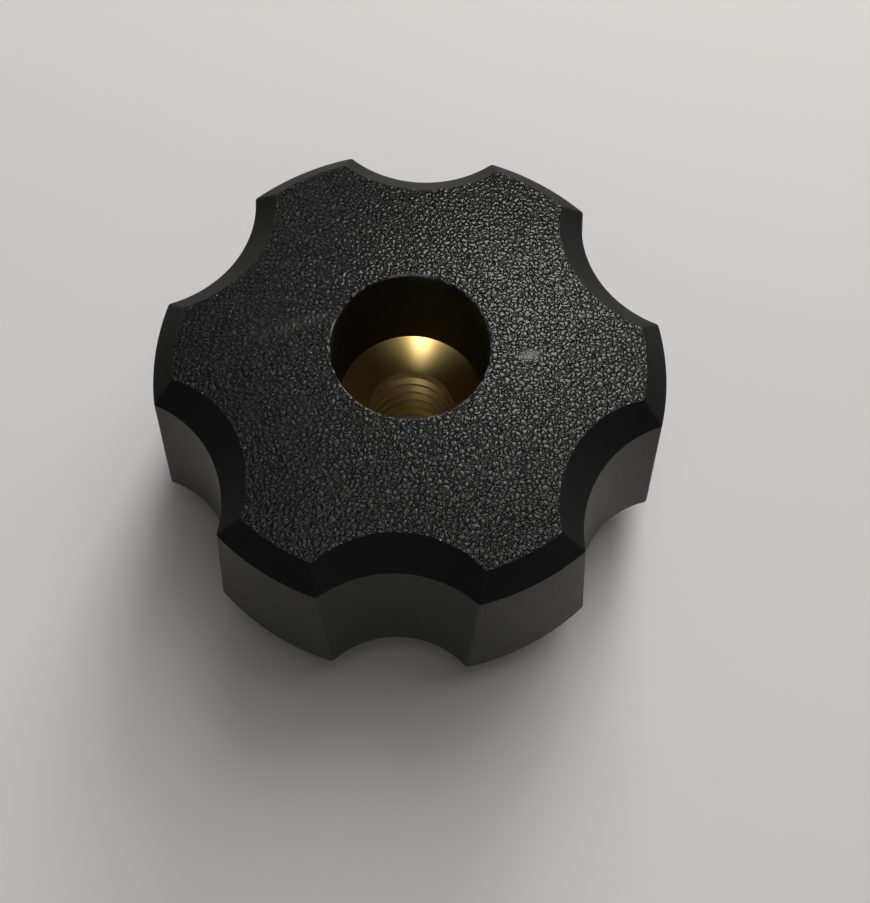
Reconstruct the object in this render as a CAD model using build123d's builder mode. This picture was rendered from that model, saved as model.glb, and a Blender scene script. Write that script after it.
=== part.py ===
# Six-lobed scalloped hand knob: a black plastic moulding round a tapped brass insert.
# Millimetres, +Z up. The origin is on the axis, on the face of the boss that the knob clamps and rests with.

import os
from math import sqrt, tan, radians

from build123d import *

# Heights above the clamping face
boss_stand = 3.81            # boss face to the skirt's lower edge
skirt_height = 12.35         # skirt's lower edge to the shoulder
rim_rise = 2.89              # shoulder to the rim of the bore

# Grip, sized at the skirt's lower edge
knob_diameter = 38.1         # across the lobes
lobe_count = 6
scallop_radius = 6.93        # finger hollow between two lobes
scallop_depth = 2.67         # below the lobes
scallop_angle = 90           # the first hollow faces +Y
draft_angle = 6              # lean of the skirt, for drawing it from the mould
corner_radius = 0.3          # where a lobe meets a hollow

# Top
chamfer_angle = 45           # lean of the shoulder's chamfer from the axis
dome_radius = 94.5

# Coring of the underside
wall_thickness = 2.2         # skirt, at its lower edge
roof_thickness = 2.4         # under the dome
rib_thickness = 1.6          # at its lower edge
rib_recess = 1.6             # skirt's lower edge up to the ribs
rib_draft = 1
pocket_corner_radius = 0.6
boss_wall = 2.4              # plastic round the insert's knurl, at the clamping face
boss_draft = 1.5
boss_edge = 0.5              # chamfer round the clamping face

# Bore and insert
bore_diameter = 10.8
insert_length = 10.1
seat_width = 0.55            # plastic that overlaps the insert's upper end
collar_length = 1.4          # plain stretch at each end of the insert
knurl_stand = 0.4            # knurl above the plain ends
knurl_depth = 0.35
knurl_count = 32
groove_depth = 0.9           # below the knurl: plastic in this groove keeps the insert from pulling out
groove_width = 1.6
thread_diameter = 6.53       # tapping size of a 5/16 in by 18 thread
mouth_angle = 100            # countersink that fills the bore
exit_depth = 0.3             # countersink at the clamping face
exit_angle = 90

overrun = 1.0                # how far a cut or a trimming block runs past what it trims
upright_rise = 2.0           # an edge that climbs further than this is a corner of the outline

# Sizes that follow
knob_radius = knob_diameter / 2
scallop_centre = knob_radius - scallop_depth + scallop_radius
bore_radius = bore_diameter / 2
collar_radius = bore_radius + seat_width
insert_radius = collar_radius + knurl_stand
groove_radius = insert_radius - groove_depth
boss_radius = insert_radius + boss_wall
thread_radius = thread_diameter / 2
exit_radius = thread_radius + exit_depth * tan(radians(exit_angle / 2))

shoulder_z = boss_stand + skirt_height
rim_z = shoulder_z + rim_rise
dome_centre_z = rim_z - sqrt(dome_radius**2 - bore_radius**2)
crown_z = dome_centre_z + dome_radius
rib_z = boss_stand + rib_recess
rib_length = knob_radius - bore_radius
rib_middle = bore_radius + rib_length / 2
skirt_lean = skirt_height * tan(radians(draft_angle))
trim_radius = knob_radius + overrun

groove_z = (insert_length - groove_width) / 2
mouth_z = insert_length - (bore_radius - thread_radius) / tan(radians(mouth_angle / 2))


def lobed_outline(lobe_radius, hollow_radius):
    """Draws a round outline with a round hollow between each two lobes."""
    Circle(lobe_radius)
    with PolarLocations(scallop_centre, lobe_count, start_angle=scallop_angle):
        Circle(hollow_radius, mode=Mode.SUBTRACT)


def under_dome(sphere_radius, floor_z):
    """Draws half the section of what lies between floor_z and a sphere round the dome's centre."""
    with Locations((0, dome_centre_z)):
        Circle(sphere_radius)
    with Locations((0, floor_z)):
        Rectangle(trim_radius, crown_z, align=(Align.MIN, Align.MIN), mode=Mode.INTERSECT)


def is_upright(edge):
    """Tells a corner that runs up the knob from an edge that runs round it."""
    return edge.bounding_box().size.Z > upright_rise


# Outside of the insert, which is also the hollow that it leaves in the plastic
with BuildPart() as insert_blank:
    with BuildSketch(Plane.XZ):
        with BuildLine():
            Polyline(
                (0, 0),
                (collar_radius, 0),
                (collar_radius, collar_length),
                (insert_radius, collar_length),
                (insert_radius, groove_z),
                (groove_radius, groove_z),
                (groove_radius, groove_z + groove_width),
                (insert_radius, groove_z + groove_width),
                (insert_radius, insert_length - collar_length),
                (collar_radius, insert_length - collar_length),
                (collar_radius, insert_length),
                (0, insert_length),
                close=True,
            )
        make_face()
    revolve(axis=Axis.Z)
    with BuildSketch(Plane.XY):
        with PolarLocations(insert_radius, knurl_count):
            RegularPolygon(knurl_depth, side_count=4)
    extrude(amount=insert_length, mode=Mode.SUBTRACT)

# Insert, tapped right through, with a wide mouth for the end of the screw
with BuildPart() as threaded_insert:
    add(insert_blank.part)
    with BuildSketch(Plane.XZ):
        with BuildLine():
            Polyline(
                (0, 0),
                (exit_radius, 0),
                (thread_radius, exit_depth),
                (thread_radius, mouth_z),
                (bore_radius, insert_length),
                (0, insert_length),
                close=True,
            )
        make_face()
    revolve(axis=Axis.Z, mode=Mode.SUBTRACT)

# Hollow under the knob, cut into one pocket for each lobe by a rib at each scallop
with BuildPart() as pockets:
    with BuildSketch(Plane.XY.offset(boss_stand)):
        lobed_outline(knob_radius - wall_thickness, scallop_radius + wall_thickness)
    extrude(amount=crown_z - boss_stand, taper=draft_angle)
    with BuildSketch(Plane.XZ):
        under_dome(dome_radius - roof_thickness, boss_stand)
    revolve(axis=Axis.Z, mode=Mode.INTERSECT)
    with BuildSketch(Plane.XY.offset(rib_z)):
        with PolarLocations(rib_middle, lobe_count, start_angle=scallop_angle):
            Rectangle(rib_length, rib_thickness)
    extrude(amount=crown_z - rib_z, taper=-rib_draft, mode=Mode.SUBTRACT)
    fillet(pockets.edges().filter_by(is_upright), radius=pocket_corner_radius)

# Moulding
with BuildPart() as knob_body:
    with BuildSketch(Plane.XY.offset(boss_stand)):
        lobed_outline(knob_radius, scallop_radius)
    extrude(amount=skirt_height, taper=draft_angle)
    with BuildSketch(Plane.XY.offset(shoulder_z)):
        lobed_outline(knob_radius - skirt_lean, scallop_radius + skirt_lean)
    extrude(amount=crown_z - shoulder_z, taper=chamfer_angle)
    fillet(knob_body.edges().filter_by(is_upright), radius=corner_radius)
    add(pockets.part, mode=Mode.SUBTRACT)
    with BuildSketch(Plane.XY):
        Circle(boss_radius)
    extrude(amount=crown_z, taper=-boss_draft)
    chamfer(knob_body.edges().group_by(Axis.Z)[0], length=boss_edge)
    with BuildSketch(Plane.XZ):
        under_dome(dome_radius, 0)
    revolve(axis=Axis.Z, mode=Mode.INTERSECT)
    with BuildSketch(Plane.XY.offset(insert_length)):
        Circle(bore_radius)
    extrude(amount=crown_z - insert_length + overrun, mode=Mode.SUBTRACT)
    add(insert_blank.part, mode=Mode.SUBTRACT)

os.makedirs("parts", exist_ok=True)
knob_body.part.label = "knob_body"
export_step(knob_body.part, "parts/knob_body.step")
threaded_insert.part.label = "threaded_insert"
export_step(threaded_insert.part, "parts/threaded_insert.step")
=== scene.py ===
# %% [markdown]
# # A scalloped hand knob
# The object is a six-lobed hand knob: a black plastic moulding with a grained top, and a tapped brass insert at
# the bottom of its bore. It screws onto a stud and clamps with the boss under it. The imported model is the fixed
# frame. Every new piece is built in that frame, in metres, with +Z up the knob's axis and the clamping face on
# z = 0.

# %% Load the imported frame
from math import acos, atan2, cos, hypot, pi, radians, sin, sqrt, tan

import bmesh
import bpy
from mathutils import Euler, Matrix, Vector


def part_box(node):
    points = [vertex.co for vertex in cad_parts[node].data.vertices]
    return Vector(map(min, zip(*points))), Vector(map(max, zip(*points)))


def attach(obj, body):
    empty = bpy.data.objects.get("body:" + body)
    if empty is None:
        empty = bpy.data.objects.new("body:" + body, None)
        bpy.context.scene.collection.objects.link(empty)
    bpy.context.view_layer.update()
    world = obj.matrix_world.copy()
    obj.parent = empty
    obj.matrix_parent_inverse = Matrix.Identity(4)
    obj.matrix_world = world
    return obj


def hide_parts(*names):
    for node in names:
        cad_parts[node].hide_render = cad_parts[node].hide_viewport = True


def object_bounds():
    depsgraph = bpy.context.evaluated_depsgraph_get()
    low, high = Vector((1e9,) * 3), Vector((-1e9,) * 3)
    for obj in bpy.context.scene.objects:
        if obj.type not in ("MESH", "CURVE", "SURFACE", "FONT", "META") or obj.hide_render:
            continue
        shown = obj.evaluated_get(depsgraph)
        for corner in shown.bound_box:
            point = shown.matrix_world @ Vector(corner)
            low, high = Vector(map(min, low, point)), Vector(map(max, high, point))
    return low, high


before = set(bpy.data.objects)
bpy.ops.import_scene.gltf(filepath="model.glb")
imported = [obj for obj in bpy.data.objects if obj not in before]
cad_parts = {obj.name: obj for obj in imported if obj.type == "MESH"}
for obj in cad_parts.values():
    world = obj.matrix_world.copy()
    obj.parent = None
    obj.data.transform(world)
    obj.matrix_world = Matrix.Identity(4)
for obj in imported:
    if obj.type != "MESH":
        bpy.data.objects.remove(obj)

mm = 0.001
cad_low, cad_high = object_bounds()
print("CAD box in mm:", [round(v / mm, 2) for v in cad_low], [round(v / mm, 2) for v in cad_high])

# %% [markdown]
# ## Working habits
# Operators act on whatever is selected, so each step starts by picking one object and nothing else. A boolean
# joins or carves two closed solids, which is how a toolmaker thinks of a mould: blocks, cutters and what is
# left. The helpers here do only that, and each one tidies up after itself.

# %% Pick, carve and count
def pick(piece):
    """Selects this object alone and makes it the active one."""
    bpy.ops.object.select_all(action="DESELECT")
    piece.select_set(True)
    bpy.context.view_layer.objects.active = piece


def name_new(name):
    """Names the primitive that was just added, puts its place into its mesh and returns it."""
    piece = bpy.context.object
    piece.name = piece.data.name = name
    pick(piece)
    bpy.ops.object.transform_apply(location=True, rotation=True, scale=True)
    return piece


def carve(piece, tool, how="DIFFERENCE"):
    """Applies a boolean of piece with tool, and removes the tool."""
    pick(piece)
    step = piece.modifiers.new(how.title(), "BOOLEAN")
    step.operation, step.solver, step.object = how, "MANIFOLD", tool
    bpy.ops.object.modifier_apply(modifier=step.name)
    bpy.data.objects.remove(tool)


def open_edges(piece):
    """Counts the edges that don't have exactly two faces."""
    shell = bmesh.new()
    shell.from_mesh(piece.data)
    count = sum(1 for edge in shell.edges if len(edge.link_faces) != 2)
    shell.free()
    return count


def close_up(piece, reach=0.0002 * mm):
    """Merges doubled points and turns every face outwards."""
    pick(piece)
    bpy.ops.object.mode_set(mode="EDIT")
    bpy.ops.mesh.select_all(action="SELECT")
    bpy.ops.mesh.remove_doubles(threshold=reach)
    bpy.ops.mesh.normals_make_consistent(inside=False)
    bpy.ops.object.mode_set(mode="OBJECT")


print("nodes to dress:", sorted(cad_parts))

# %% [markdown]
# ## Turned shapes
# The insert is turned on a lathe, and so are the core pins that leave the bore and the boss in the moulding. In
# Blender a turned shape is a profile beside the axis, drawn point by point with extrude, and spun once round
# the axis.

# %% Turn a profile
def turned(name, profile, steps=144):
    """A closed turned solid. The profile runs from one point on the axis to another, as (radius, height) pairs."""
    points = [Vector((r, 0, z)) for r, z in profile]
    bpy.ops.object.select_all(action="DESELECT")
    bpy.ops.mesh.primitive_plane_add(size=mm, location=points[0])
    piece = name_new(name)
    bpy.ops.object.mode_set(mode="EDIT")
    bpy.ops.mesh.merge(type="CENTER")
    for here, there in zip(points, points[1:]):
        bpy.ops.mesh.extrude_vertices_move(TRANSFORM_OT_translate={"value": there - here})
    bpy.ops.mesh.select_all(action="SELECT")
    bpy.ops.mesh.spin(steps=steps, angle=2 * pi, center=(0, 0, 0), axis=(0, 0, 1))
    bpy.ops.object.mode_set(mode="OBJECT")
    close_up(piece)
    return piece


def copies_round(piece, count, start):
    """Copies a cutter round the axis and joins the copies into one object."""
    pieces = [piece]
    for number in range(1, count):
        copy = piece.copy()
        copy.data = piece.data.copy()
        bpy.context.collection.objects.link(copy)
        copy.data.transform(Matrix.Rotation(start + number * 2 * pi / count, 4, "Z"))
        pieces.append(copy)
    piece.data.transform(Matrix.Rotation(start, 4, "Z"))
    pick(piece)
    for copy in pieces:
        copy.select_set(True)
    bpy.ops.object.join()
    return piece


bore_radius = 5.4 * mm
insert_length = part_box("threaded_insert")[1].z
insert_radius = 6.35 * mm
collar_radius = 5.95 * mm
groove_radius = 5.45 * mm
collar_length = 1.4 * mm
groove_low, groove_high = 4.25 * mm, 5.85 * mm
print("insert length in mm:", round(insert_length / mm, 3))

# %% [markdown]
# ## The insert's outside
# Plastic grips the insert by a straight knurl, which stops it turning, and by a groove, which stops it pulling
# out. The outside is turned first, and 32 small square cutters, stood on edge round it, press the knurl's
# grooves.

# %% Turn and knurl the blank
insert_blank = turned("insert_blank", [
    (0, 0), (collar_radius, 0), (collar_radius, collar_length), (insert_radius, collar_length),
    (insert_radius, groove_low), (groove_radius, groove_low), (groove_radius, groove_high),
    (insert_radius, groove_high), (insert_radius, insert_length - collar_length),
    (collar_radius, insert_length - collar_length), (collar_radius, insert_length), (0, insert_length),
])
knurl_count, knurl_depth = 32, 0.35 * mm
bpy.ops.mesh.primitive_cylinder_add(
    vertices=4, radius=knurl_depth, depth=3 * insert_length, location=(insert_radius, 0, 0))
knurl_tool = copies_round(name_new("knurl_tool"), knurl_count, 0)
carve(insert_blank, knurl_tool)
print("insert blank:", len(insert_blank.data.polygons), "faces,", open_edges(insert_blank), "open edges")

# %% [markdown]
# ## The lobed outline
# The grip's outline is six round lobes with six round hollows between them, and a small radius where they meet.
# The skirt leans in by 6 degrees so that the moulding leaves its mould, and the shoulder is chamfered at 45
# degrees. So every level of the grip is the same outline, pulled in by some amount: lobes get smaller by it and
# hollows get larger. One function draws the outline at any inset, always with the same number of points, so
# that levels can be joined.

# %% Draw the outline at an inset
lobe_count = 6
knob_radius = cad_high.x
scallop_radius, scallop_depth = 6.93 * mm, 2.67 * mm
scallop_centre = knob_radius - scallop_depth + scallop_radius
lobe_steps, corner_steps, hollow_steps = 14, 6, 16


def outline(inset, corner):
    """Points of the outline, anticlockwise from the middle of the lobe on +X."""
    lobe, hollow = knob_radius - inset, scallop_radius + inset
    reach = lobe - corner
    turn = acos((reach**2 + scallop_centre**2 - (hollow + corner)**2) / (2 * reach * scallop_centre))
    middle = pi / lobe_count
    heart = Vector((cos(middle), sin(middle))) * scallop_centre
    knee = Vector((cos(middle - turn), sin(middle - turn))) * reach
    lean = atan2(heart.y - knee.y, heart.x - knee.x)
    half = []
    for step in range(lobe_steps):
        angle = (middle - turn) * step / lobe_steps
        half.append(Vector((cos(angle), sin(angle))) * lobe)
    for step in range(corner_steps):
        angle = middle - turn + (lean - middle + turn) * step / corner_steps
        half.append(knee + Vector((cos(angle), sin(angle))) * corner)
    for step in range(hollow_steps + 1):
        angle = pi + lean + (middle - lean) * step / hollow_steps
        half.append(heart + Vector((cos(angle), sin(angle))) * hollow)
    mirror = Matrix(((cos(2 * middle), sin(2 * middle)), (sin(2 * middle), -cos(2 * middle))))
    sector = half + [mirror @ point for point in half[-2:0:-1]]
    points = []
    for number in range(lobe_count):
        points += [Matrix.Rotation(2 * middle * number, 2) @ point for point in sector]
    return points


corner_radius = 0.3 * mm
print("outline points:", len(outline(0, corner_radius)))

# %% [markdown]
# ## Lofting the grip
# A circle is laid on the first level's outline. Then the open ring is extruded, and each new ring is laid on
# the outline of its own level. Corners of the profile are rounded here, level by level, because a moulding has
# no knife edges: the light catches the small radius at the shoulder and at the skirt's lower edge.

# %% Loft through levels
def rounded(profile, radius, steps=5):
    """The profile with each inner corner replaced by an arc."""
    points = [Vector(point) for point in profile]
    result = [points[0]]
    for before, here, after in zip(points, points[1:], points[2:]):
        back, on = (before - here).normalized(), (after - here).normalized()
        half_angle = back.angle(on) / 2
        centre = here + (back + on).normalized() * radius / sin(half_angle)
        first, last = here + back * radius / tan(half_angle), here + on * radius / tan(half_angle)
        for step in range(steps + 1):
            spoke = (first - centre).lerp(last - centre, step / steps)
            result.append(centre + spoke.normalized() * radius)
    return result + [points[-1]]


def lofted(name, levels, corner):
    """A closed solid through outlines at (inset, height) levels, from the lowest to the highest."""
    rings = [[Vector((p.x, p.y, height)) for p in outline(inset, corner)] for inset, height in levels]
    bpy.ops.object.select_all(action="DESELECT")
    bpy.ops.mesh.primitive_circle_add(vertices=len(rings[0]), radius=knob_radius, fill_type="NOTHING")
    piece = name_new(name)
    place = piece.data.attributes.new("place", "INT", "POINT")
    for vertex in piece.data.vertices:
        vertex.co = rings[0][vertex.index]
        place.data[vertex.index].value = vertex.index
    bpy.ops.object.mode_set(mode="EDIT")
    bpy.ops.mesh.select_all(action="SELECT")
    for ring in rings[1:]:
        bpy.ops.mesh.extrude_edges_move()
        shell = bmesh.from_edit_mesh(piece.data)
        index = shell.verts.layers.int["place"]
        for vertex in shell.verts:
            if vertex.select:
                vertex.co = ring[vertex[index]]
        bmesh.update_edit_mesh(piece.data)
    bpy.ops.mesh.edge_face_add()
    bpy.ops.mesh.select_all(action="DESELECT")
    bpy.ops.mesh.select_non_manifold()
    bpy.ops.mesh.edge_face_add()
    bpy.ops.object.mode_set(mode="OBJECT")
    piece.data.attributes.remove(piece.data.attributes["place"])
    close_up(piece)
    return piece


draft = radians(6)
skirt_low, shoulder_z, rim_z = 3.81 * mm, 16.16 * mm, cad_high.z
skirt_lean = (shoulder_z - skirt_low) * tan(draft)
above, foot_width, edge_radius = 4 * mm, 1.1 * mm, 0.25 * mm
grip_levels = rounded([
    (foot_width, skirt_low), (0, skirt_low), (skirt_lean, shoulder_z),
    (skirt_lean + above, shoulder_z + above),
], edge_radius)
grip_top = grip_levels.pop()
rows = 8
grip_levels += [grip_levels[-1].lerp(grip_top, row / rows) for row in range(1, rows + 1)]
grip = lofted("grip", grip_levels, corner_radius)
print("grip:", len(grip_levels), "levels,", len(grip.data.polygons), "faces,", open_edges(grip), "open edges")

# %% [markdown]
# ## Coring the underside
# A thick moulding sinks and takes long to cool, so the underside is cored out: a wall follows the outline, a
# roof follows the dome, and a rib runs from each hollow to the boss. The core is modelled as a tool of its own,
# with the ribs cut out of it, and then it is carved from the grip in one go.

# %% Carve the core
dome_radius = 94.5 * mm
dome_centre_z = rim_z - sqrt(dome_radius**2 - bore_radius**2)
wall, roof, pocket_corner = 2.2 * mm, 2.4 * mm, 0.6 * mm
rib_z, rib_width, rib_draft = 5.41 * mm, 1.6 * mm, radians(1)
under = 1 * mm


def dome_z(radius, below=0):
    """Height of the dome at a radius, or of a sphere that lies so far below it."""
    return dome_centre_z + sqrt((dome_radius - below)**2 - radius**2)


core = lofted("core", [
    (wall - under * tan(draft), skirt_low - under), (wall + (rim_z - skirt_low) * tan(draft), rim_z),
], pocket_corner)
roof_steps = 12
roof_radii = [knob_radius * step / roof_steps for step in range(roof_steps, -1, -1)]
roof_line = [(radius, dome_z(radius, roof)) for radius in roof_radii]
roof_tool = turned("roof_tool", [(0, 0), (knob_radius, 0)] + roof_line)
carve(core, roof_tool, "INTERSECT")
rib_height = rim_z - rib_z
bpy.ops.mesh.primitive_cube_add(
    size=1, location=((bore_radius + knob_radius) / 2, 0, rib_z + rib_height / 2),
    scale=(knob_radius - bore_radius, rib_width, rib_height))
rib = name_new("rib")
for vertex in rib.data.vertices:
    if vertex.co.z > rib_z + rib_height / 2:
        vertex.co.y *= 1 + 2 * rib_height * tan(rib_draft) / rib_width
carve(core, copies_round(rib, lobe_count, pi / lobe_count))
print("core:", len(core.data.polygons), "faces,", open_edges(core), "open edges")
carve(grip, core)
print("cored grip:", len(grip.data.polygons), "faces,", open_edges(grip), "open edges")

# %% [markdown]
# ## Boss, seat and bore
# The boss stands out below the skirt and carries the clamping face. The insert is moulded in, so its seat is a
# copy of its own outside. The bore runs from the dome down to the insert, and its rim has a fine radius that
# catches the light.

# %% Add the boss, then carve the seat and the bore
boss_radius, boss_lean = 8.75 * mm, radians(1.5)
boss_edge, boss_edge_radius = 0.5 * mm, 0.12 * mm
boss_top = dome_z(0, roof / 2)
boss = turned("boss", rounded([
    (0, 0), (boss_radius - boss_edge, 0), (boss_radius + boss_edge * tan(boss_lean), boss_edge),
    (boss_radius + boss_top * tan(boss_lean), boss_top), (0, boss_top),
], boss_edge_radius, 3))
carve(grip, boss, "UNION")
seat_tool = insert_blank.copy()
seat_tool.data = insert_blank.data.copy()
bpy.context.collection.objects.link(seat_tool)
for vertex in seat_tool.data.vertices:
    if vertex.co.z < collar_length / 2:
        vertex.co.z = -under
carve(grip, seat_tool)
rim_round, rim_sink, rim_lift = 0.2 * mm, 0.02 * mm, radians(8)
bore_tool = turned("bore_tool", rounded([
    (0, insert_length - under), (bore_radius, insert_length - under), (bore_radius, rim_z - rim_sink),
    (bore_radius + 2 * under, rim_z - rim_sink + 2 * under * tan(rim_lift)), (0, rim_z + 2 * under),
], rim_round, 6))
carve(grip, bore_tool)
print("grip with bore:", len(grip.data.polygons), "faces,", open_edges(grip), "open edges")

# %% [markdown]
# ## Patterns from nodes
# A procedural pattern is a small network of nodes. The same kinds of node work in a material and in a Geometry
# Nodes modifier, so one set of helpers builds both, and the grain that is pressed into the mesh can be the very
# one that the finish reads.

# %% Helpers for nodes
def node(tree, kind, values=(), **settings):
    """Adds a node, with settings on it and values or links on its inputs."""
    made = tree.nodes.new(kind)
    for key, value in settings.items():
        setattr(made, key, value)
    for key, value in dict(values).items():
        if isinstance(value, bpy.types.NodeSocket):
            tree.links.new(value, made.inputs[key])
        else:
            made.inputs[key].default_value = value
    return made


def vector_math(tree, operation, first, second=(0, 0, 0)):
    """Works on two vectors. A length comes out as a number."""
    made = node(tree, "ShaderNodeVectorMath", {0: first, 1: second}, operation=operation)
    return made.outputs["Value" if operation == "LENGTH" else "Vector"]


def number_math(tree, operation, first, second=0.0):
    """Works on two numbers, or on the first alone."""
    return node(tree, "ShaderNodeMath", {0: first, 1: second}, operation=operation).outputs["Value"]


def mottle(tree, place, size, detail=3.0):
    """Noise whose blotches are about size across, from 0 to 1."""
    return node(tree, "ShaderNodeTexNoise", {"Vector": place, "Scale": 1 / size, "Detail": detail}).outputs["Fac"]


def between(tree, share, low, high, start=0.0, end=1.0, way="LINEAR"):
    """Maps a value from start to end onto a range from low to high."""
    made = node(tree, "ShaderNodeMapRange", {
        "Value": share, "From Min": start, "From Max": end, "To Min": low, "To Max": high}, interpolation_type=way)
    return made.outputs["Result"]


grain_size, grain_depth = 0.36 * mm, 0.035 * mm


def pebbles(tree, place, crease):
    """Height of the leather grain at a place on the knob, from 0 in a crease to 1 on top of a pebble."""
    flat = vector_math(tree, "MULTIPLY", place, (1, 1, 0))
    sway = node(tree, "ShaderNodeTexNoise", {
        "Vector": flat, "Scale": 0.9 / grain_size, "Detail": 1.0}).outputs["Color"]
    sway = vector_math(tree, "SUBTRACT", sway, (0.5, 0.5, 0.5))
    sway = vector_math(tree, "MULTIPLY", sway, (1.5 * grain_size, 1.5 * grain_size, 0))
    bent = vector_math(tree, "ADD", flat, sway)
    cells = node(tree, "ShaderNodeTexVoronoi", {
        "Vector": bent, "Scale": 1 / grain_size, "Randomness": 1.0,
    }, feature="DISTANCE_TO_EDGE", voronoi_dimensions="2D").outputs["Distance"]
    pebble = between(tree, cells, 0, 1, 0, crease, "SMOOTHSTEP")
    wander = vector_math(tree, "ADD", flat, (17 * mm, 5 * mm, 0))
    level = number_math(tree, "SUBTRACT", mottle(tree, wander, 1.1 * grain_size, 0.0), 0.5)
    worm = between(tree, number_math(tree, "ABSOLUTE", level), 0.2, 1, 0, 0.3 * crease, "SMOOTHSTEP")
    return number_math(tree, "MULTIPLY", pebble, worm)


print("grain: pebbles of", round(grain_size / mm, 2), "mm,", round(grain_depth / mm, 3), "mm deep")

# %% [markdown]
# ## The grained dome
# The top of the mould is etched with a leather grain: small pebbles, about 0.4 mm across, with creases between
# them. The dome starts as a fine grid laid on a sphere. A Geometry Nodes modifier presses the creases into it,
# and only downwards, so that the pebbles' tops stay at the dome's true height.

# %% Emboss the grain
dome_side, dome_cells, pressed_crease = 33.4 * mm, 394, 0.28
bpy.ops.object.select_all(action="DESELECT")
bpy.ops.mesh.primitive_grid_add(x_subdivisions=dome_cells, y_subdivisions=dome_cells, size=dome_side)
dome = name_new("dome")
for vertex in dome.data.vertices:
    vertex.co.z = dome_z(hypot(vertex.co.x, vertex.co.y))
press = bpy.data.node_groups.new("grain_press", "GeometryNodeTree")
press.interface.new_socket("Geometry", in_out="INPUT", socket_type="NodeSocketGeometry")
press.interface.new_socket("Geometry", in_out="OUTPUT", socket_type="NodeSocketGeometry")
sheet_in, sheet_out = node(press, "NodeGroupInput"), node(press, "NodeGroupOutput")
here = node(press, "GeometryNodeInputPosition").outputs["Position"]
drop = between(press, pebbles(press, here, pressed_crease), -grain_depth, 0)
offset = node(press, "ShaderNodeCombineXYZ", {"Z": drop}).outputs["Vector"]
pressed = node(press, "GeometryNodeSetPosition", {"Geometry": sheet_in.outputs[0], "Offset": offset})
press.links.new(pressed.outputs["Geometry"], sheet_out.inputs[0])
emboss = dome.modifiers.new("Emboss", "NODES")
emboss.node_group = press
pick(dome)
bpy.ops.object.modifier_apply(modifier=emboss.name)
sunk = [dome_z(hypot(v.co.x, v.co.y)) - v.co.z for v in dome.data.vertices]
print("grain sinks from %.4f to %.4f mm" % (min(sunk) / mm, max(sunk) / mm))

# %% [markdown]
# ## Trimming the grip
# The sheet's border is drawn out past the knob and dropped below it, which makes a closed block with a grained
# top. What the block has in common with the grip is the finished moulding.

# %% Trim the grip with the dome
border = 1.6
pick(dome)
bpy.ops.object.mode_set(mode="EDIT")
bpy.ops.mesh.select_all(action="DESELECT")
bpy.ops.mesh.select_non_manifold()
bpy.ops.mesh.extrude_edges_move()
bpy.ops.transform.resize(value=(border, border, 1), center_override=(0, 0, 0))
bpy.ops.mesh.extrude_edges_move()
shell = bmesh.from_edit_mesh(dome.data)
for vertex in shell.verts:
    if vertex.select:
        vertex.co.z = -under
bmesh.update_edit_mesh(dome.data)
bpy.ops.mesh.edge_face_add()
bpy.ops.object.mode_set(mode="OBJECT")
close_up(dome)
carve(grip, dome, "INTERSECT")
grip.name = grip.data.name = "grip_moulding"
print("moulding:", len(grip.data.polygons), "faces,", open_edges(grip), "open edges")

# %% [markdown]
# ## The insert's inside
# The insert is drilled to the tapping size and countersunk at both ends: a little at the clamping face, and at
# the top with a wide cone of 100 degrees that fills the bore. One turned drill has the shape of all three cuts.

# %% Drill and countersink
thread_radius, exit_depth = 3.265 * mm, 0.3 * mm
mouth_angle = radians(100)
mouth_slope = tan(mouth_angle / 2)
mouth_z = insert_length - (bore_radius - thread_radius) / mouth_slope
drill = turned("drill", [
    (0, -under), (thread_radius + exit_depth + under, -under), (thread_radius, exit_depth),
    (thread_radius, mouth_z), (bore_radius + under * mouth_slope, insert_length + under),
    (0, insert_length + under),
])
insert = insert_blank
carve(insert, drill)
print("drilled insert:", len(insert.data.polygons), "faces,", open_edges(insert), "open edges")

# %% [markdown]
# ## The thread
# A tap cuts the thread. Its groove is a small trapezium with 60 degrees between its flanks, swept along a helix
# by the Screw modifier, one turn for each pitch of 1.411 mm. Carving it out leaves a true right-hand thread,
# which starts a little below the countersink and runs out at the clamping face.

# %% Tap the thread
root_radius, pitch, turns, steps_per_turn = 3.97 * mm, 1.411 * mm, 7, 72
thread_start, tap_overlap = -2.387 * mm, 0.165 * mm
inner_radius = thread_radius - tap_overlap
groove_half = 3 / 8 * pitch
flank = tan(radians(30))
bpy.ops.object.select_all(action="DESELECT")
bpy.ops.mesh.primitive_plane_add(size=mm)
tap = name_new("tap")
inner_half = groove_half + (thread_radius - inner_radius) * flank
root_half = groove_half - (root_radius - thread_radius) * flank
for vertex in tap.data.vertices:
    outside = vertex.co.x > 0
    side = 1 if vertex.co.y > 0 else -1
    vertex.co = (0, -(root_radius if outside else inner_radius),
                 thread_start + side * (root_half if outside else inner_half))
helix = tap.modifiers.new("Helix", "SCREW")
helix.axis, helix.angle, helix.screw_offset, helix.iterations = "Z", 2 * pi, pitch, turns
helix.steps = helix.render_steps = steps_per_turn
bpy.ops.object.modifier_apply(modifier=helix.name)
bpy.ops.object.mode_set(mode="EDIT")
bpy.ops.mesh.select_all(action="SELECT")
bpy.ops.mesh.fill_holes(sides=4)
bpy.ops.object.mode_set(mode="OBJECT")
close_up(tap)
print("tap:", len(tap.data.polygons), "faces,", open_edges(tap), "open edges")
carve(insert, tap)
insert.name = insert.data.name = "tapped_insert"
close_up(insert)
print("insert:", len(insert.data.polygons), "faces,", open_edges(insert), "open edges")

# %% [markdown]
# ## Sorting the faces
# The moulding has five finishes, and the place of a face tells which one it has. Faces of the dome lie within
# the grain's depth of the sphere. The bore's wall lies inside the dome's edge, and the round rim between the
# two is a finish of its own. What looks up above the shoulder is the chamfer, and the rest takes the skirt's
# finish.

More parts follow.
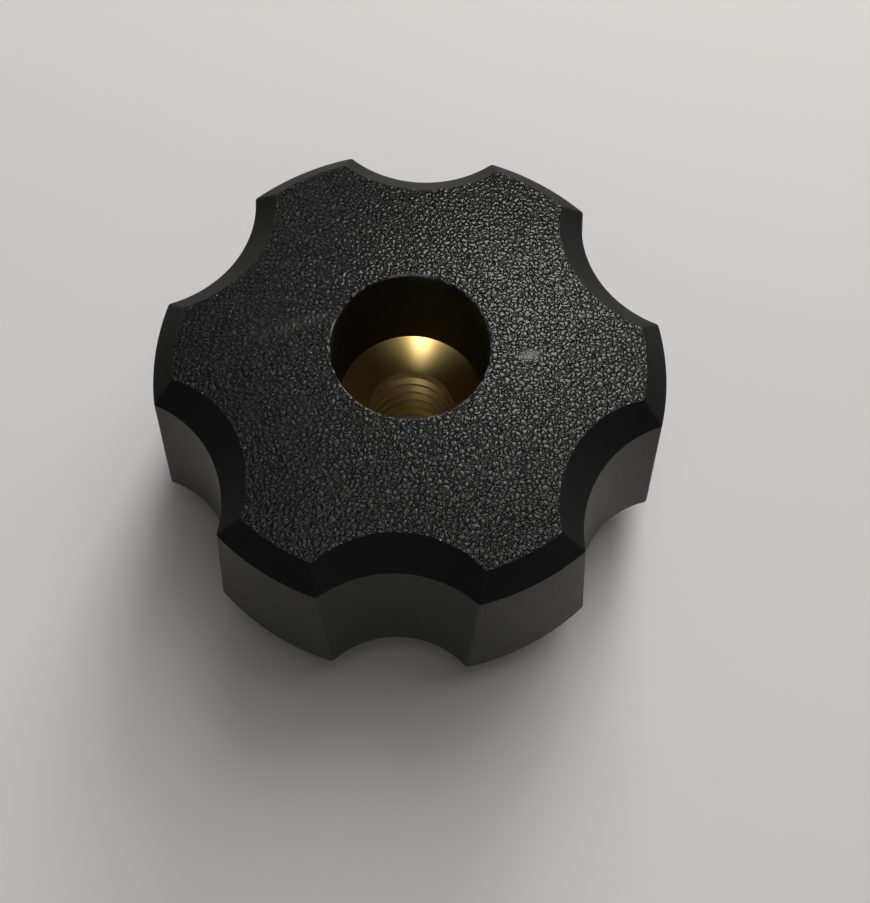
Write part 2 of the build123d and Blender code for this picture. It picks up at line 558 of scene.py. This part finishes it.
# %% Sort the faces
zones = {"skirt": 0, "chamfer": 1, "dome": 2, "bore": 3, "rim": 4}


def zone_of(face):
    """Which finish a face of the moulding has, from where it is and where it looks."""
    x, y, z = face.center
    radius = hypot(x, y)
    corners = [grip.data.vertices[index].co for index in face.vertices]
    if all(abs(dome_z(hypot(p.x, p.y)) - p.z) < 1.1 * grain_depth for p in corners) and radius > bore_radius:
        return "dome"
    if radius < bore_radius + 1.5 * rim_round and z > insert_length - under:
        return "rim" if z > rim_z - rim_round else "bore"
    if z > shoulder_z and face.normal.z > 0.1:
        return "chamfer"
    return "skirt"


grip.data.materials.clear()
insert.data.materials.clear()
counts = dict.fromkeys(zones, 0)
for face in grip.data.polygons:
    zone = zone_of(face)
    face.material_index = zones[zone]
    counts[zone] += 1
print("faces by finish:", counts)

# %% [markdown]
# ## Smooth and sharp
# Round walls are shaded smooth, and real corners stay sharp. The grained dome and the bore's wall are smooth
# within themselves and sharp where they meet their neighbours, whatever the angle there. The insert's turned
# walls have facets only 2.5 degrees apart, and 5 along the thread, so a low limit keeps its corners crisp.

# %% Shade the pieces
moulded_limit, turned_limit = radians(32), radians(8)
pick(grip)
bpy.ops.object.shade_smooth_by_angle(angle=moulded_limit)
bpy.ops.object.mode_set(mode="EDIT")
bpy.ops.mesh.select_mode(type="FACE")
for zone in ("dome", "bore"):
    shell = bmesh.from_edit_mesh(grip.data)
    for face in shell.faces:
        face.select_set(face.material_index == zones[zone])
    bmesh.update_edit_mesh(grip.data)
    bpy.ops.mesh.mark_sharp(clear=True)
    bpy.ops.mesh.region_to_loop()
    bpy.ops.mesh.mark_sharp()
    bpy.ops.mesh.select_mode(type="FACE")
bpy.ops.mesh.select_mode(type="VERT")
bpy.ops.object.mode_set(mode="OBJECT")
pick(insert)
bpy.ops.object.shade_smooth_by_angle(angle=turned_limit)
for piece in (grip, insert):
    print(piece.name, "has", sum(face.use_smooth for face in piece.data.polygons), "smooth faces")

# %% [markdown]
# ## Black plastic
# One resin makes the whole moulding, and the mould's surface makes its finishes. All of them read Object
# coordinates, so a pattern keeps its place on the piece. The colour is never one flat value: it wanders a
# little. It also carries painted light: painted shade darkens the grain's creases, the bore's wall is painted
# paler and cooler, and a painted highlight pales the rim along with its wear.

# %% Helpers for finishes
def new_finish(name):
    """A material's node tree with its shader and Object coordinates at hand."""
    material = bpy.data.materials.new(name)
    material.use_nodes = True
    tree = material.node_tree
    return material, tree, tree.nodes["Principled BSDF"], tree.nodes.new("ShaderNodeTexCoord").outputs["Object"]


def colour(tree, shader, share, low, high):
    """Lets the colour go from low to high by a share. A Mix node has its colours on inputs 6 and 7 and output 2."""
    mix = node(tree, "ShaderNodeMix", {0: share, 6: (*low, 1), 7: (*high, 1)}, data_type="RGBA")
    tree.links.new(mix.outputs[2], shader.inputs["Base Color"])


def dullness(tree, shader, share, low, high):
    """Lets the roughness go from low to high by a share."""
    tree.links.new(between(tree, share, low, high), shader.inputs["Roughness"])


def relief(tree, shader, height, distance, strength):
    """Gives the shader a bump."""
    bump = node(tree, "ShaderNodeBump", {"Height": height, "Distance": distance, "Strength": strength})
    tree.links.new(bump.outputs["Normal"], shader.inputs["Normal"])


print("finishes before:", len(bpy.data.materials))

# %% [markdown]
# ## Skirt and chamfer
# The skirt has a fine spark-eroded texture, which looks matte: a small noise gives both its relief and the way
# its roughness wavers. The chamfer has hardly any shine of its own. It stays nearly black where it faces the
# viewer, and turns grey only at the far side, where it is seen at a flat angle.

# %% Finish the skirt and the chamfer
skirt_finish, tree, shader, place = new_finish("matte_skirt_plastic")
speckle = mottle(tree, place, 0.16 * mm, 2.0)
cloud = mottle(tree, place, 3.5 * mm)
colour(tree, shader, cloud, (0.006, 0.006, 0.0063), (0.012, 0.012, 0.0124))
dullness(tree, shader, speckle, 0.42, 0.66)
shader.inputs["Specular IOR Level"].default_value = 0.38
relief(tree, shader, speckle, 0.02 * mm, 0.5)

chamfer_finish, tree, shader, place = new_finish("satin_chamfer_plastic")
cloud = mottle(tree, place, 2.5 * mm)
fine = mottle(tree, place, 0.12 * mm, 2.0)
colour(tree, shader, cloud, (0.014, 0.014, 0.0142), (0.018, 0.018, 0.0182))
shader.inputs["Specular IOR Level"].default_value = 0.02
dullness(tree, shader, fine, 0.36, 0.50)
relief(tree, shader, fine, 0.006 * mm, 0.3)
print("finishes:", skirt_finish.name, chamfer_finish.name)

# %% [markdown]
# ## Bore and rim
# The core pin leaves a dull wall in the bore. Its colour is painted light: paler and a little cooler than the
# black elsewhere, to cancel the warm light that the brass below throws on it and to lift the dim wall. The rim
# is paler where a noise says: partly wear from what passes through it, and partly a painted highlight for the
# glint along its small radius.

# %% Finish the bore and its rim
bore_finish, tree, shader, place = new_finish("dull_bore_plastic_painted_tint")
cloud = mottle(tree, place, 1.5 * mm)
# painted light: the wall is paler and cooler than the plastic's black, against the brass's warm bounce light
colour(tree, shader, cloud, (0.022, 0.027, 0.036), (0.026, 0.032, 0.043))
dullness(tree, shader, cloud, 0.30, 0.40)
shader.inputs["Specular IOR Level"].default_value = 0.05

rim_finish, tree, shader, place = new_finish("worn_rim_plastic_painted_glint")
rim_wear_and_glint = between(tree, mottle(tree, place, 0.5 * mm, 2.0), 0, 1, 0.4, 0.65, "SMOOTHSTEP")
# partly wear and partly painted highlight: the rim's pale colour also stands for the glint along its radius
colour(tree, shader, rim_wear_and_glint, (0.012, 0.012, 0.012), (0.30, 0.30, 0.29))
dullness(tree, shader, rim_wear_and_glint, 0.2, 0.4)
print("finishes:", bore_finish.name, rim_finish.name)

# %% [markdown]
# ## Leather grain
# The grain is in the mesh already. The finish reads the same pebbles: a bump sharpens the creases between the
# mesh's points, and the creases are duller than the pebbles' tops and painted darker, as painted shade. Two
# faint marks lie over the grain: a long one, where the plastic flowed together behind the core pin, and a short
# scuff on the other side. In both the creases are partly filled, so a soft oval lifts the pattern there and takes
# away some of the painted shade.

# %% Finish the dome
drawn_crease, mark_strength = 0.18, 0.6


def soft_mark(tree, place, middle, turn, half_length, half_width):
    """How far a soft oval mark lifts the grain at a place, from 0 outside it to mark_strength in its middle."""
    flat = vector_math(tree, "MULTIPLY", place, (1, 1, 0))
    spot = node(tree, "ShaderNodeMapping", {
        "Vector": flat, "Location": (*middle, 0), "Rotation": (0, 0, radians(turn)),
        "Scale": (half_length, half_width, 1),
    }, vector_type="TEXTURE").outputs["Vector"]
    return between(tree, vector_math(tree, "LENGTH", spot), mark_strength, 0, 0.2, 1, "SMOOTHSTEP")


dome_finish, tree, shader, place = new_finish("leather_grain_with_painted_crease_shade")
pebble = pebbles(tree, place, drawn_crease)
flow_mark = soft_mark(tree, place, (-8.3 * mm, 1.2 * mm), 18.5, 4.2 * mm, 0.8 * mm)
scuff = soft_mark(tree, place, (8.05 * mm, -0.3 * mm), 20, 1.1 * mm, 0.6 * mm)
for mark in (flow_mark, scuff):
    pebble = number_math(tree, "MAXIMUM", pebble, mark)
# painted shade: the colour goes from nearly black in the creases to a little lighter on the pebbles' tops
colour(tree, shader, pebble, (0.001, 0.001, 0.001), (0.005, 0.005, 0.0052))
dullness(tree, shader, pebble, 0.3, 0.2)
shader.inputs["Specular IOR Level"].default_value = 0.75
relief(tree, shader, pebble, 2.2 * grain_depth, 1.0)
for finish in (skirt_finish, chamfer_finish, dome_finish, bore_finish, rim_finish):
    grip.data.materials.append(finish)
print("moulding's finishes:", [finish.name for finish in grip.data.materials])

# %% [markdown]
# ## Brass
# The insert is bare brass. The turning tool leaves fine rings on the countersink, so a noise that depends only
# on the radius and the height gives both the rings of its relief and the way its shine wavers. The metal is a
# little tarnished in patches.

# %% Finish the insert
brass_finish, tree, shader, place = new_finish("turned_brass")
height = node(tree, "ShaderNodeSeparateXYZ", {"Vector": place}).outputs["Z"]
radius = vector_math(tree, "LENGTH", vector_math(tree, "MULTIPLY", place, (1, 1, 0)))
ring_place = node(tree, "ShaderNodeCombineXYZ", {"X": radius, "Y": height}).outputs["Vector"]
rings = mottle(tree, ring_place, 0.03 * mm, 2.0)
tarnish = mottle(tree, place, 1.2 * mm)
colour(tree, shader, tarnish, (0.79, 0.54, 0.20), (0.93, 0.70, 0.27))
shader.inputs["Metallic"].default_value = 1.0
dullness(tree, shader, rings, 0.24, 0.36)
relief(tree, shader, rings, 0.001 * mm, 0.1)
insert.data.materials.append(brass_finish)
print("insert's finish:", insert.data.materials[0].name)

# %% [markdown]
# ## Putting the pieces on the frame
# The moulding and the insert stand for their CAD nodes, which are then hidden. A part with no joints has one
# body.

# %% Ride on the body
stand_ins = ((grip, "knob_body", "black_plastic"), (insert, "threaded_insert", "brass"))
for piece, stands_for, finish_slot in stand_ins:
    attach(piece, "root")
    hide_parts(stands_for)
    triangles = sum(len(face.vertices) - 2 for face in piece.data.polygons)
    print(piece.name, "stands for", stands_for, "with", triangles, "triangles")

# %% [markdown]
# ## Floor
# A plain pale floor shows the knob's shadow, which tells how high the skirt stands on its boss. It is a wide
# disc, so its edge stays far behind the knob from every side.

# %% Lay the floor
bpy.ops.object.select_all(action="DESELECT")
floor_radius = 800 * mm
bpy.ops.mesh.primitive_circle_add(vertices=128, radius=floor_radius, fill_type="NGON")
floor = name_new("floor")
floor_finish, tree, shader, place = new_finish("pale_floor")
cloud = mottle(tree, place, 60 * mm)
colour(tree, shader, cloud, (0.73, 0.720, 0.70), (0.77, 0.760, 0.74))
shader.inputs["Roughness"].default_value = 0.8
shader.inputs["Specular IOR Level"].default_value = 0.2
floor.data.materials.append(floor_finish)
print("floor laid at z =", floor.location.z)

# %% [markdown]
# ## Light
# The light comes from a window behind the knob and a little to its right, in a room that is dim elsewhere. A
# low lamp throws the soft shadow forwards. It lights matte surfaces only, because the far edge of the dome
# would mirror so strong a lamp. Two wide lamps higher up are the top of the window and its glow, and the grain
# shines with them. Three weak lamps are the ceiling and the walls. Two small ones in front show in gloss only:
# they make the highlight on the brass cone and the stripe down the thread, and leave the floor as it is.

# %% Place the lamps
def soft_lamp(name, turn, rise, spread, level, distance, reach="all"):
    """A round lamp that faces the knob.

    Turn is its angle round from +X, rise its angle up from the floor and spread half the angle that it fills,
    all in degrees. Level is how bright it makes a white card that faces it, and distance is in metres. Reach is
    "matte" for a lamp that nothing mirrors, and "gloss" for one that shows only where something mirrors it.
    """
    turn, rise = radians(turn), radians(rise)
    way = Vector((cos(rise) * cos(turn), cos(rise) * sin(turn), sin(rise)))
    light = bpy.data.lights.new(name, "AREA")
    light.shape, light.size = "DISK", 2 * distance * tan(radians(spread))
    light.color = (1.0, 0.99, 0.97)
    light.energy = level * pi**2 * distance**2
    lamp = bpy.data.objects.new(name, light)
    bpy.context.collection.objects.link(lamp)
    lamp.location = way * distance
    lamp.rotation_euler = way.to_track_quat("Z", "Y").to_euler()
    lamp.visible_camera = False
    lamp.visible_glossy, lamp.visible_diffuse = reach != "matte", reach != "gloss"
    print(name, "at", [round(v, 3) for v in lamp.location], "with", round(light.energy, 3), "W")


soft_lamp("window_low", 77, 31, 11, 0.52, 0.34, "matte")
soft_lamp("window_high", 70, 53, 14, 0.22, 1.2)
soft_lamp("window_glow", 48, 57, 24, 0.25, 1.2)
soft_lamp("room_above", 80, 84, 22, 0.06, 1.2)
soft_lamp("room_left", 108, 54, 20, 0.05, 1.2)
soft_lamp("room_front", 275, 68, 28, 0.065, 1.2)
soft_lamp("front_lamp", 258, 48, 6, 0.28, 0.30, "gloss")
soft_lamp("front_high", 262, 62, 5, 0.012, 0.30, "gloss")

# %% [markdown]
# ## Room
# The room itself gives a faint even light. The camera sees it paler than it is, as a plain backdrop.

# %% Set the room
room_light, backdrop_light = 0.03, 0.42
room = bpy.data.worlds.new("dim_room")
bpy.context.scene.world = room
room.use_nodes = True
tree = room.node_tree
backdrop = tree.nodes["Background"]
backdrop.inputs["Color"].default_value = (0.98, 0.98, 0.97, 1)
seen = tree.nodes.new("ShaderNodeLightPath").outputs["Is Camera Ray"]
tree.links.new(between(tree, seen, room_light, backdrop_light), backdrop.inputs["Strength"])
print("room lit by", len(bpy.data.lights), "lamps")

# %% [markdown]
# ## Camera
# The camera stands close, about 80 mm from the dome, in front of the knob and high above it. Its place comes
# from fitting the lobed edges of the shoulder and the skirt, so it also carries the small roll that the picture
# has. The angles are counted from a camera that looks straight down.

# %% Set up the camera
picture_width, picture_height = 870, 903
focal_pixels = 1165.88
view = bpy.data.cameras.new("camera")
view.sensor_width = 36
view.lens = view.sensor_width * focal_pixels / max(picture_width, picture_height)
view.clip_start = 0.005
camera = bpy.data.objects.new("camera", view)
bpy.context.collection.objects.link(camera)
camera_place = Vector((2.218, -36.205, 88.689)) * mm
tilt, lean, turn = radians(22.2892), radians(-0.7466), radians(2.3333)
camera.matrix_world = Matrix.LocRotScale(camera_place, Euler((tilt, lean, turn)), None)
bpy.context.scene.camera = camera
bpy.context.scene.view_settings.view_transform = "Standard"
print("lens in mm:", round(view.lens, 2))
